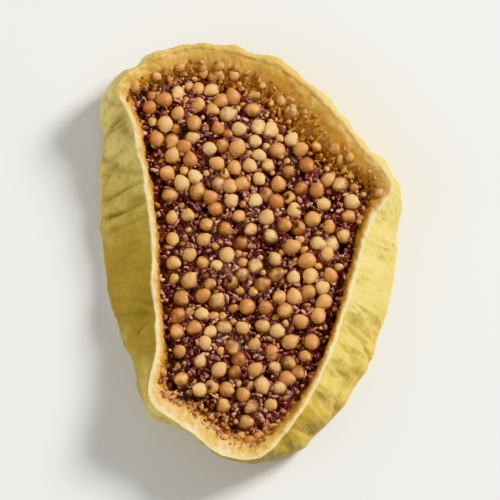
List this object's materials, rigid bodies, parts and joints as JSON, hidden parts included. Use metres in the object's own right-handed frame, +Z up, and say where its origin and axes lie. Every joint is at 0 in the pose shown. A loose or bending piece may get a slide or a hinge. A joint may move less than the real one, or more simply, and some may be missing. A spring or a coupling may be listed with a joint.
{
  "type": "dried fig slice",
  "caption": "Slice of a green-skinned fig, dried: a wrinkled ring of skin and pale flesh round dark pulp with golden seeds standing out of both cut faces.",
  "frame": {"origin": "under the middle of the slice's bounding box, at the height of the surface it lies on", "axes": "+Z up out of the front cut face, +Y to the broad end of the slice, -Y to its narrow tip, +X to the right when seen from above with the broad end away"},
  "size_m": [0.0328, 0.0468, 0.0075],
  "materials": {
    "peel": "satin, leathery dried skin, yellow-green with olive folds and pale amber flesh",
    "pulp": "sticky, half gloss, red-brown pulp with golden seeds"
  },
  "bodies": {
    "root": {"peel": "peel", "pulp": "pulp"}
  },
  "joints": []
}
